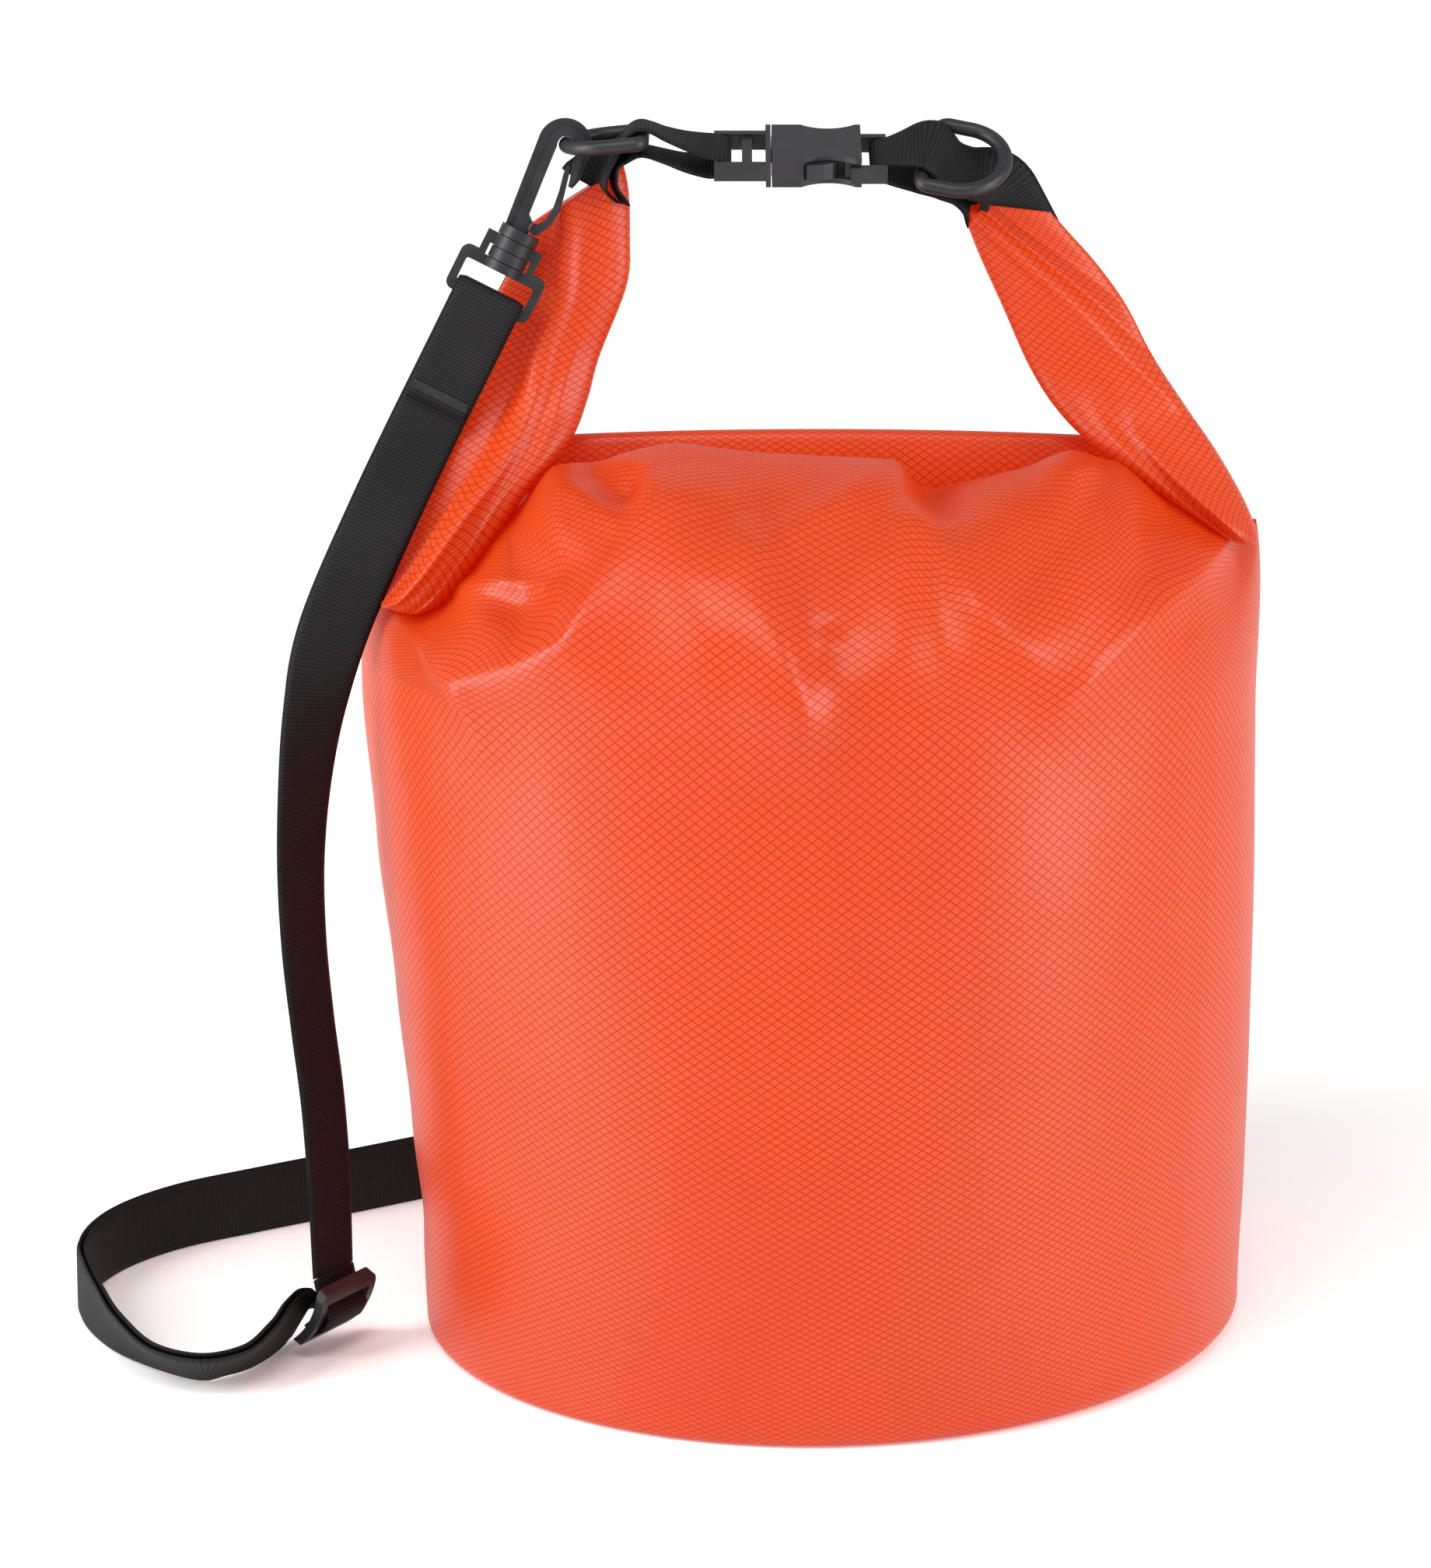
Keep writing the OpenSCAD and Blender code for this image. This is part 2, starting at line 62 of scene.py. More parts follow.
camera = bpy.data.objects.new("camera", bpy.data.cameras.new("camera"))
bpy.context.collection.objects.link(camera)
camera.location = camera_aim + camera_back * camera_distance
camera.rotation_euler = (-camera_back).to_track_quat("-Z", "Y").to_euler()
camera.data.lens = 143.8
camera.data.sensor_width = 36
bpy.context.scene.camera = camera


# ---- webbing: how it is woven ----
# 20 mm polypropylene webbing, 1.3 mm thick, black, with fine ribs across it and two
# rounded selvedges. Every strap on the bag is cut from the same roll.

web_width = 20 * MM
web_thick = 1.3 * MM
rib_pitch = 1.05 * MM
strand_pitch = 0.95 * MM
selvedge_from = 9.1 * MM
selvedge_full = 9.7 * MM


class Value:
    """A shader socket that Python's own operators work on."""

    def __init__(self, tree, socket):
        self.tree, self.socket = tree, socket

    def _math(self, operation, *inputs):
        return self.tree.node("ShaderNodeMath", {"operation": operation}, *inputs)

    def __add__(self, other):
        return self._math("ADD", self, other)

    def __radd__(self, other):
        return self._math("ADD", other, self)

    def __sub__(self, other):
        return self._math("SUBTRACT", self, other)

    def __rsub__(self, other):
        return self._math("SUBTRACT", other, self)

    def __mul__(self, other):
        return self._math("MULTIPLY", self, other)

    def __rmul__(self, other):
        return self._math("MULTIPLY", other, self)

    def __truediv__(self, other):
        return self._math("DIVIDE", self, other)

    def sine(self):
        return self._math("SINE", self)

    def absolute(self):
        return self._math("ABSOLUTE", self)

    def pingpong(self, scale):
        return self._math("PINGPONG", self, scale)

    def smaller(self, other):
        return self._math("MINIMUM", self, other)

    def step(self, low, high):
        """0 below low, 1 above high and smooth between."""
        return self.tree.node(
            "ShaderNodeMapRange", {"interpolation_type": "SMOOTHSTEP"}, self, low, high, 0.0, 1.0
        )


class Finish:
    """A material under construction."""

    def __init__(self, name, roughness=0.5, **constants):
        self.material = bpy.data.materials.new(name)
        self.material.use_nodes = True
        self.nodes = self.material.node_tree.nodes
        self.links = self.material.node_tree.links
        self.shader = self.nodes["Principled BSDF"]
        self.shader.inputs["Roughness"].default_value = roughness
        for socket, value in constants.items():
            self.shader.inputs[socket.replace("_", " ")].default_value = value

    def node(self, kind, settings, *inputs, output=0):
        """A node of any kind: settings first, then its inputs' values or links in order."""
        new = self.nodes.new(kind)
        for key, value in settings.items():
            setattr(new, key, value)
        for socket, value in zip([s for s in new.inputs if s.enabled], inputs):
            if isinstance(value, Value):
                self.links.new(value.socket, socket)
            elif value is not None:
                socket.default_value = value
        return Value(self, [s for s in new.outputs if s.enabled][output])

    def place(self):
        """Object coordinates."""
        return self.node("ShaderNodeTexCoord", {}, output=3)

    def cloth_uv(self):
        """Distances across and along the cloth, in metres."""
        uv = self.node("ShaderNodeUVMap", {"uv_map": "cloth"})
        return [self.node("ShaderNodeSeparateXYZ", {}, uv, output=k) for k in (0, 1)]

    def noise(self, where, scale, detail=2.0, roughness=0.5):
        return self.node(
            "ShaderNodeTexNoise", {"noise_dimensions": "3D"}, where, scale, detail, roughness
        )

    def mix(self, factor, a, b):
        """The colour a where factor is 0 and b where it is 1."""
        new = self.nodes.new("ShaderNodeMix")
        new.data_type = "RGBA"
        for index, value in ((0, factor), (6, a), (7, b)):
            if isinstance(value, Value):
                self.links.new(value.socket, new.inputs[index])
            else:
                new.inputs[index].default_value = value if index == 0 else (*value, 1)
        return Value(self, new.outputs[2])

    def feed(self, socket, value):
        self.links.new(value.socket, self.shader.inputs[socket])

    def bump(self, height, distance, strength=1.0):
        """Adds a relief of that depth in metres, on top of any there is."""
        new = self.nodes.new("ShaderNodeBump")
        new.inputs["Strength"].default_value = strength
        new.inputs["Distance"].default_value = distance
        self.links.new(height.socket, new.inputs["Height"])
        linked = self.shader.inputs["Normal"].links
        if linked:
            self.links.new(linked[0].from_socket, new.inputs["Normal"])
        self.links.new(new.outputs["Normal"], self.shader.inputs["Normal"])


def webbing_finish():
    cloth = Finish("black_webbing", Specular_IOR_Level=0.16)
    across, along = cloth.cloth_uv()
    rib = (along / rib_pitch * math.tau).sine() * 0.5 + 0.5
    slant = across / strand_pitch * math.tau + along / rib_pitch * math.pi
    strand = slant.sine() * 0.5 + 0.5
    fuzz = cloth.noise(cloth.place(), 2600.0, 3.0, 0.7)
    patch = cloth.noise(cloth.place(), 60.0, 2.0)
    edge = across.absolute().step(selvedge_from, selvedge_full)
    tone = rib * 0.45 + strand * 0.2 + fuzz * 0.25 + patch * 0.25 - edge * 0.15
    colour = cloth.mix(tone.step(0.1, 1.1), (0.003, 0.003, 0.0035), (0.016, 0.0155, 0.017))
    cloth.feed("Base Color", colour)
    cloth.feed("Roughness", 0.72 - tone * 0.12)
    cloth.bump(rib * 0.7 + strand * 0.3, 0.16 * MM)
    cloth.bump(fuzz, 0.06 * MM, 0.7)
    return cloth.material


webbing_cloth = webbing_finish()


def curve_weights(t):
    """What each of four stations counts for at t between the middle two."""
    return (
        (-t + 2 * t * t - t**3) / 2,
        (2 - 5 * t * t + 3 * t**3) / 2,
        (t + 4 * t * t - 3 * t**3) / 2,
        (t**3 - t * t) / 2,
    )


def spline(points, steps):
    """A smooth run through (point, across) stations, that many steps apart."""
    run = []
    last = len(points) - 1
    for i in range(last):
        four = [points[max(i - 1, 0)], points[i], points[i + 1], points[min(i + 2, last)]]
        for k in range(steps):
            weights = curve_weights(k / steps)
            run.append([sum((w * s[j] for w, s in zip(weights, four)), Vector()) for j in (0, 1)])
    run.append(list(points[last]))
    return run


def stations(table):
    """Stations in millimetres as (point, across) in metres."""
    return [(Vector(point) * MM, Vector(across)) for point, across in table]


def wrap(name, across, along, place, material):
    """A grid of cloth put in place by place(u, v), with u and v from 0 to 1."""
    mesh = bmesh.new()
    bmesh.ops.create_grid(mesh, x_segments=across, y_segments=along, size=0.5)
    uv = mesh.loops.layers.uv.new("cloth")
    spots = {v: place(v.co.x + 0.5, v.co.y + 0.5) for v in mesh.verts}
    for face in mesh.faces:
        face.smooth = True
        for loop in face.loops:
            loop[uv].uv = spots[loop.vert][1]
    for vert, (point, _) in spots.items():
        vert.co = point
    piece = bpy.data.objects.new(name, bpy.data.meshes.new(name))
    mesh.to_mesh(piece.data)
    mesh.free()
    bpy.context.collection.objects.link(piece)
    piece.data.materials.append(material)
    return piece


def sew(piece, gap, shut=True):
    """Joins the edges of a wrapped grid that meet, closes its open ends if it is to be
    shut, and turns its faces outwards."""
    mesh = bmesh.new()
    mesh.from_mesh(piece.data)
    bmesh.ops.remove_doubles(mesh, verts=mesh.verts, dist=gap)
    if shut:
        bmesh.ops.holes_fill(mesh, edges=[e for e in mesh.edges if e.is_boundary])
    bmesh.ops.recalc_face_normals(mesh, faces=mesh.faces)
    mesh.to_mesh(piece.data)
    mesh.free()


def ribbon(name, run, start=0.0, off=0.0, thick=web_thick):
    """Webbing with round edges along a run of (point, across), lying that far off it. Its
    ribs are counted from start."""
    lengths = [start]
    for (a, _), (b, _) in zip(run, run[1:]):
        lengths.append(lengths[-1] + (b - a).length)
    last = len(run) - 1
    frames = []
    for i, (point, side) in enumerate(run):
        tangent = (run[min(i + 1, last)][0] - run[max(i - 1, 0)][0]).normalized()
        side = (side - side.dot(tangent) * tangent).normalized()
        frames.append((point, side, tangent.cross(side)))

    def place(u, v):
        i = round(v * last)
        point, side, face = frames[i]
        turn = u * math.tau
        # a flat oblong with round edges, gone round once
        x = max(-1, min(1, 1.06 * math.cos(turn) * (1 + 0.16 * math.cos(2 * turn) ** 2)))
        edge = abs(x) ** 14
        y = math.copysign(1, math.sin(turn)) * math.sqrt(max(0, 1 - edge)) if 0 < u < 1 else 0
        spot = point + side * (x * web_width / 2) + face * (off + y * thick / 2)
        return spot, (x * web_width / 2, lengths[i])

    piece = wrap(name, 28, last, place, webbing_cloth)
    sew(piece, 0.001 * MM)
    return piece


# ---- shoulder strap ----
# One length of webbing, cut and sewn. It goes round the near hook's loop, hangs down to
# the slider, lies on the floor round to the far hook behind the bag, and comes back as a
# second layer to the slider's middle bar.

upper_stations = stations([
    [[-92.6, -10.7, 298.4], [0.894, -0.06, -0.44]],
    [[-96.6, -14.2, 290.8], [0.894, -0.06, -0.44]],
    [[-100.6, -15.5, 282.9], [0.894, -0.06, -0.44]],
    [[-109.2, -17.8, 266], [0.894, -0.06, -0.44]],
    [[-121, -31.5, 242.6], [0.88, -0.12, -0.45]],
    [[-134, -38.5, 213], [0.87, 0.12, -0.4]], [[-139.8, -38.4, 190], [0.8, 0.5, -0.25]],
    [[-143, -37.6, 167.3], [0.7, 0.7, -0.12]], [[-144.5, -37, 144], [0.62, 0.78, -0.04]],
    [[-144, -37, 121], [0.58, 0.81, 0]], [[-142, -37, 98], [0.56, 0.83, 0]],
    [[-139.5, -37, 75], [0.56, 0.83, 0]], [[-138, -37, 51], [0.56, 0.83, 0]],
    [[-137.6, -37.4, 36], [0.54, 0.84, 0]], [[-137.3, -37.7, 23.7], [0.52, 0.85, 0]],
])
lower_stations = stations([
    [[-143.9, -33.5, 10.3], [0.52, 0.85, 0]], [[-147, -36.2, 10], [-0.3, 0.5, -0.8]],
    [[-150, -41.5, 10], [-0.35, 0.15, -0.92]], [[-153, -50, 9.8], [-0.4, 0.12, -0.9]],
    [[-157, -61, 9.2], [-0.5, 0.3, -0.81]], [[-163.5, -70, 8], [-0.4, 0.68, -0.62]],
    [[-172, -75, 7.8], [0, 0.8, -0.6]], [[-183, -69.5, 8.2], [0.38, 0.65, -0.66]],
    [[-194, -56, 9.7], [0.4, 0.3, -0.87]], [[-203, -38, 10.1], [0.15, 0.1, -0.98]],
    [[-210, -18, 10.2], [0, 0, -1]], [[-213, 0, 10.2], [0, 0, -1]],
    [[-210, 19, 10.2], [0, 0, -1]], [[-202, 36, 10.2], [0, 0, -1]],
    [[-188, 52, 10.2], [0, 0, -1]], [[-168, 66, 10.2], [0, 0, -1]],
    [[-145, 81, 10.2], [0, 0, -1]], [[-121, 97, 10.2], [0, 0, -1]],
    [[-98, 112, 10.4], [0, 0, -1]], [[-74, 125, 11], [0, 0, -1]],
    [[-48, 134, 12], [0, 0, -1]], [[-22, 138.6, 13], [0, 0, -1]],
    [[2, 140.8, 13.6], [0, 0, -1]], [[14.6, 141, 13.6], [0, 0, -1]],
])
near_turn = (Matrix.Rotation(math.radians(-8), 3, "X")
             @ Matrix.Rotation(math.radians(26.6), 3, "Y"))
near_at = Vector((-89, -13, 306)) * MM
far_turn = Matrix.Rotation(math.radians(90), 3, "Y")
far_at = Vector((30, 141, 13.6)) * MM
slider_turn = (Matrix.Rotation(math.radians(-31.4), 3, "Z")
               @ Matrix.Rotation(math.radians(-60), 3, "Y"))
slider_at = Vector((-136.4, -38.2, 12.2)) * MM
# Where the strap turns round a loop's bar and round the slider's bars, in their own frames
fold = [(3.4, -7.7), (3.4, -4.4), (2.4, -2.7), (0, -2.3), (-2.4, -2.7), (-3.4, -4.4), (-3.4, -7.7)]
wave = [(9.2, 6.3), (6.9, 4), (4.6, 0.6), (2.5, -2.9), (0.9, -3.5), (-0.9, -3.5), (-2.5, -2.9),
        (-4, -0.2), (-4.9, 2.4)]


def turned(points, turn, at):
    """Stations of a strap's turn round a loop's bar, from (Y, Z) in the loop's own frame."""
    side = turn @ Vector((1, 0, 0))
    return [(at + turn @ (Vector((0, y, z)) * MM), side) for y, z in points]


run_steps = 8
layer_off = 0.9 * MM  # each of the two layers lies that far to its side of the run
upper_run = spline(upper_stations, run_steps)
lower_run = spline(lower_stations, run_steps)
back_run = lower_run[run_steps:-run_steps]
middle = len(upper_run) * 8 // 14
top_run, middle_run = upper_run[: middle + 1], upper_run[middle:]

strap_top = ribbon("strap_top", top_run)
strap_middle = ribbon("strap_middle", middle_run, start=0.19)
strap_floor = ribbon("strap_floor", lower_run, off=-layer_off)
strap_back = ribbon("strap_back", back_run, off=layer_off)
near_fold = ribbon("strap_near_fold_cloth", spline(
    turned(fold + [(-2.6, -12), (-1.1, -17), (-0.95, -26), (-0.95, -38)], near_turn, near_at), 4))
far_fold = ribbon("strap_far_turn_cloth", spline(
    turned(fold + [(-2.6, -11), (-0.8, -15)], far_turn, far_at), 4))
slider_wave = ribbon("strap_at_slider", spline(
    [(slider_at + slider_turn @ (Vector((x, 0, z)) * MM), slider_turn @ Vector((0, 1, 0)))
     for x, z in wave], 4), thick=1.2 * MM)

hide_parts("strap_upper_run")
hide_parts("strap_lower_run")
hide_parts("strap_return")
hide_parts("strap_near_fold")
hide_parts("strap_far_turn")
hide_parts("strap_slider_wave")
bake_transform(strap_top)
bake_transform(near_fold)
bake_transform(strap_middle)
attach(strap_floor, "root")
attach(strap_back, "root")
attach(far_fold, "root")
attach(slider_wave, "slider")


def run_length(run):
    return sum((b - a).length for (a, _), (b, _) in zip(run, run[1:]))


run_length(top_run)
run_length(middle_run)
run_length(lower_run)
run_length(back_run)


# ---- coated ripstop ----
# Polyester ripstop with a glossy coating, bright orange. Its grid of heavier threads runs
# on the bias, so it shows as small flat diamonds.

diamond_wide = 3.5 * MM
diamond_tall = 2.26 * MM
heavy_thread = 0.08  # half a line's width, as a share of a diamond
threads_a_diamond = 8


def ripstop_finish():
    cloth = Finish(
        "orange_ripstop", Specular_IOR_Level=0.14, Coat_Roughness=0.34, Emission_Strength=1.0
    )
    across, along = cloth.cloth_uv()
    warp = across / diamond_wide + along / diamond_tall
    weft = across / diamond_wide - along / diamond_tall
    nearest = warp.pingpong(0.5).smaller(weft.pingpong(0.5))
    grid = 1 - nearest.step(heavy_thread * 0.45, heavy_thread * 1.6)
    thread = math.tau * threads_a_diamond
    weave = (warp * thread).sine() * (weft * thread).sine()
    patch = cloth.noise(cloth.place(), 14.0, 3.0, 0.55)
    grain = cloth.noise(cloth.place(), 900.0, 2.0)
    base = cloth.mix(patch.step(0.3, 0.7), (0.33, 0.041, 0.001), (0.36, 0.050, 0.0015))
    lined = cloth.mix(grid * (0.7 + patch * 0.3), base, (0.26, 0.010, 0.0003))
    cloth.feed("Base Color", cloth.mix(weave * 0.035 + grain * 0.05, lined, (0.5, 0.10, 0.02)))
    cloth.feed("Roughness", 0.43 + grain * 0.08 + grid * 0.06)
    cloth.feed("Coat Weight", 0.5 - grid * 0.2)
    # painted light: a red glow that lifts the cloth where it lies in shade, standing in for light
    # bounced through the folds, and weaker on the heavy threads
    cloth.feed("Emission Color", cloth.mix(grid, (0.32, 0.004, 0.0), (0.24, 0.0, 0.0)))
    cloth.bump(grid * 0.8 + weave * 0.12, 0.14 * MM)
    cloth.bump(cloth.noise(cloth.place(), 42.0, 3.0), 0.9 * MM, 0.5)
    return cloth.material


ripstop = ripstop_finish()


# ---- body ----
# One sewn and welded tube of ripstop on a round base. It is full and round below, and its
# shoulders draw in to the rolled mouth in soft folds that are sharpest at the corners.

cloth_around = 748 * MM
shoulder_from = 200  # mm above the floor
shoulder_share = 0.66  # of the cloth's grid lies below the shoulders
shoulder_cloth = 128  # mm of cloth from there to the roll
crest_share = 0.72  # of the shoulders' grid lies below their crest
left_corner = Vector((-121.5, 0, 222))
right_corner = Vector((126, 0, 235.5))


def along_table(table, x):
    """A table's row at x, which is each row's first entry, eased between the rows."""
    for low, high in zip(table, table[1:]):
        if x <= high[0]:
            t = max(0, (x - low[0]) / (high[0] - low[0]))
            t = t * t * (3 - 2 * t) * 0.5 + t * 0.5
            return [a + (b - a) * t for a, b in zip(low[1:], high[1:])]
    return list(table[-1][1:])


def smooth(low, high, x):
    """0 at low, 1 at high and smooth between."""
    t = max(0, min(1, (x - low) / (high - low)))
    return t * t * (3 - 2 * t)


# Height, half width, half depth and centre of the outline, in millimetres
outline = [
    (0, 119.8, 119.5, 7.1), (30, 120.6, 119.3, 6.4), (61, 122.2, 117.8, 4.8),
    (103, 123.9, 115.4, 3.1), (145, 126, 113, 1.3), (187, 127.6, 110.2, -0.2),
    (200, 127.8, 109, -0.1),
]
# Along X: height of the front shoulder's crest
crest = [
    (-122, 222), (-105, 218), (-86, 241), (-72, 257), (-61, 258.5), (-39, 262.2),
    (-10, 260), (22, 258), (33, 249), (44, 252), (56, 255), (72, 261), (84, 258),
    (100, 248), (119, 235), (126, 235),
]
# Folds over X and the height as seen from a little above: stations, height, width on the
# fold's left and right going along it, and how soft it is (1 a crease, 2 a swell)
fold_depth = 1.45
folds = [
    ([(-21, 234), (-14, 214), (-8, 196), (-4, 178), (-5, 156)], 6, 8, 18, 1.4),
    ([(-14, 242), (-9, 214), (0, 194), (12, 212), (32, 236)], -4, 9, 9, 1.5),
    ([(2, 198), (12, 214), (22, 231)], 3.6, 5, 7, 1.3),
    ([(25, 240), (30, 226), (40, 210), (68, 182)], 5.6, 17, 7, 1.3),
    ([(22, 251), (8, 239), (-9, 227), (-17, 214)], 2.6, 7, 7, 1.4),
    ([(33, 250), (34, 240), (38, 230)], -4.5, 6, 7, 1.6),
    ([(-98, 187), (-80, 192), (-67, 197), (-54, 217), (-43, 236), (-45, 246), (-61, 255)],
     4.6, 6, 15, 1.15),
    ([(-92, 205), (-78, 214), (-64, 226)], -5.5, 11, 10, 1.8),
    ([(-103, 214), (-86, 216), (-72, 214), (-69, 200)], 3, 5, 4, 1.2),
    ([(-66, 252), (-56, 242), (-46, 241)], -4.5, 5, 6, 1.5),
    ([(-72, 246), (-60, 238), (-50, 228)], 2.4, 4, 5, 1.3),
    ([(-124, 226), (-110, 207), (-94, 186), (-88, 160)], 5, 7, 8, 1.1),
    ([(122, 238), (98, 214), (72, 190), (58, 168)], 4.4, 9, 8, 1.1),
    ([(84, 252), (72, 232), (54, 210), (48, 190)], -2.6, 9, 10, 1.6),
    ([(60, 249), (72, 247), (84, 250)], 2.6, 4, 5, 1.3),
    ([(98, 240), (92, 222), (84, 206)], -2.4, 6, 7, 1.5),
    ([(-34, 250), (-36, 230), (-30, 200), (-34, 178)], 1.6, 9, 12, 1.6),
    ([(104, 206), (98, 170), (100, 130)], 1.3, 12, 14, 2),
    ([(-104, 150), (-96, 110), (-92, 60)], 1.2, 12, 16, 2),
]


def fold_lift(x, h):
    """How far the folds lift the cloth at x and the height h, in millimetres."""
    total = 0.0
    for line, height, left, right, soft in folds:
        reach = 2.6 * max(left, right)
        if not min(p[0] for p in line) - reach < x < max(p[0] for p in line) + reach:
            continue
        best = (1e9, 0, 0)
        count = len(line) - 1
        for k, ((ax, ah), (bx, bh)) in enumerate(zip(line, line[1:])):
            dx, dh = bx - ax, bh - ah
            t = ((x - ax) * dx + (h - ah) * dh) / (dx * dx + dh * dh)
            t = max(0, min(1, t))
            ox, oh = x - ax - dx * t, h - ah - dh * t
            gap = math.hypot(ox, oh)
            if gap < best[0]:
                best = (gap, (k + t) / count, dx * oh - dh * ox)
        gap, where, side = best
        width = left if side > 0 else right
        fade = smooth(-0.08, 0.22, where) * (1 - smooth(0.62, 1.05, where))
        total += fold_depth * height * fade * math.exp(-((gap / width) ** soft))
    return total


def body_ring(v, angle):
    """A point of the body, in millimetres, at v from 0 at its foot to 1 beside the roll."""
    c, s = math.cos(angle), math.sin(angle)
    if v < shoulder_share:
        rise = v / shoulder_share
        z = shoulder_from * (0.35 * rise * rise + 0.65 * rise)
        a, b, cx = along_table(outline, z)
        skew = 3.6 * math.cos(2 * (angle - math.radians(236))) * (1 - smooth(10, 150, z))
        edge = 3 + 4 * max(0, math.cos(angle - math.radians(318))) ** 2
        cut = edge - math.sqrt(max(0, edge**2 - (edge - z) ** 2)) if z < edge else 0
        return Vector((cx + (a + skew - cut) * c, (b + skew - cut) * s, z))
    reach = abs(c)
    side = math.copysign(1, c)
    corner, span = (left_corner, 86) if c < 0 else (right_corner, 80)
    inner = min(reach, 0.64) / 0.64
    outer = smooth(0.64, 1, reach)
    x = side * inner * span + (corner.x - side * span) * outer
    front = s < 0
    z = along_table(crest, x)[0] if front else 249 + (corner.z - 249) * outer
    y = (-26 if front else 26) * (1 - outer)
    a, b, cx = outline[-1][1:]
    foot = Vector((a * c + cx, b * s, shoulder_from))
    top = Vector((x, y, z))
    t = (v - shoulder_share) / (1 - shoulder_share)
    if t < crest_share:
        t /= crest_share
        high = Vector((foot.x, foot.y, shoulder_from + (z - shoulder_from) * 0.66))
        low = Vector((x * 0.8 + foot.x * 0.2, y + (foot.y - y) * 0.34, z - 0.5))
        points = (foot, high, low, top)
    else:
        t = (t - crest_share) / (1 - crest_share)
        pull = 1 - outer
        well = Vector((x * 0.985, math.copysign(5.2, s) * pull, 241 * pull + corner.z * outer))
        over = top + Vector((0, -y * 0.35, -0.4))
        down = well + Vector((0, 0, 7 * pull))
        points = (top, over, down, well)
    u = 1 - t
    weights = (u**3, 3 * u * u * t, 3 * u * t * t, t**3)
    return sum((p * w for p, w in zip(points, weights)), Vector())


def body_place(u, v):
    """The cloth at u round the bag, from its back seam, and v up it, with its folds."""
    angle = -math.pi / 2 + (u - 0.5) * math.tau
    point = body_ring(v, angle)
    c, s = math.cos(angle), math.sin(angle)
    outward = Vector((c, s, 0.7 * smooth(205, 250, point.z))).normalized()
    inside = smooth(0.955, 0.9, v) if v > 0.9 else 1
    if s < 0.1:
        turned_away = smooth(-0.1, 0.3, -s)
        point += outward * fold_lift(point.x, point.z + 0.26 * point.y) * turned_away * inside
    if s > 0:
        ripple = 2.2 * math.sin(angle * 9 + 0.6) + 1.4 * math.sin(angle * 15)
        point += outward * smooth(150, 235, point.z) * inside * s * ripple
    # slow swells of a soft bag that is full of air
    swell = math.sin(angle * 3 + 1.3) * math.sin(point.z / 60 + 0.5)
    swell += 0.5 * math.sin(angle * 7 + point.z / 38)
    point += outward * 0.7 * swell * smooth(8, 40, point.z) * (1 - smooth(190, 225, point.z))
    if v < shoulder_share:
        length = v / shoulder_share * shoulder_from
    else:
        length = shoulder_from + (v - shoulder_share) / (1 - shoulder_share) * shoulder_cloth
    return point * MM, ((u - 0.5) * cloth_around, length * MM)


body = wrap("bag_body", 360, 210, body_place, ripstop)
sew(body, 0.05 * MM, shut=False)
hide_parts("body_tube")
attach(body, "root")


# ---- rolled mouth and arms ----
# The mouth is rolled down on its stiffener into a flat roll. Its ends turn up at the
# corners, and each draws a bundle of the tube with it up to the handle.

rows_a_station = 14
bundle_cloth = 40  # mm of cloth across one face of an arm


def oval_piece(name, table, crease):
    """A flattened roll of cloth between two edge lines given as millimetre stations:
    inner edge, outer edge, depth, thickness."""
    rows = []
    last = len(table) - 1
    for i in range(last):
        four = [table[max(i - 1, 0)], table[i], table[i + 1], table[min(i + 2, last)]]
        for k in range(rows_a_station):
            weights = curve_weights(k / rows_a_station)
            rows.append([sum(w * s[j] for w, s in zip(weights, four)) for j in range(6)])
    rows.append(list(table[last]))
    runs = [0.0]
    for a, b in zip(rows, rows[1:]):
        runs.append(runs[-1] + math.hypot((a[0] + a[2] - b[0] - b[2]) / 2,
                                          (a[1] + a[3] - b[1] - b[3]) / 2))

    def place(u, v):
        i = round(v * (len(rows) - 1))
        in_x, in_z, out_x, out_z, depth, thick = rows[i]
        turn = u * math.tau
        share = 0.5 - 0.5 * math.cos(turn)
        lift = math.copysign(abs(math.sin(turn)) ** 0.75, math.sin(turn)) * thick / 2
        x, z = in_x + (out_x - in_x) * share, in_z + (out_z - in_z) * share
        if turn < math.pi:
            edge = math.sin(turn) ** 0.5
            lift += crease(share, i / (len(rows) - 1), thick) * edge
        return (Vector((x, depth - lift, z)) * MM,
                ((share if turn < math.pi else 2 - share) * bundle_cloth * MM, runs[i] * MM))

    piece = wrap(name, 128, len(rows) - 1, place, ripstop)
    sew(piece, 0.02 * MM)
    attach(piece, "root")
    return piece


def left_crease(share, along, thick):
    """The front fold laps over the outer part, which lies deeper and in its shade."""
    line = along_table([(0, 0.66), (0.15, 0.6), (0.42, 0.45), (0.6, 0.52), (0.8, 0.72), (1, 1)],
                       along)[0]
    lap = -0.34 * thick * smooth(line, line + 0.09, share)
    lip = 0.1 * thick * math.exp(-(((share - line + 0.08) / 0.08) ** 2))
    pleat = 0.07 * thick * math.exp(-abs(share - 0.16 - 0.1 * along) / 0.07)
    valley = 0.3 + 0.06 * math.sin(7 * along)
    groove = -0.06 * thick * math.exp(-(((share - valley) / 0.09) ** 2))
    wrinkle = 0.02 * thick * math.sin(15 * along + 7 * share) * smooth(0.05, 0.2, share)
    return lap + (lip + pleat + groove + wrinkle) * (1 - smooth(0.85, 1, along))


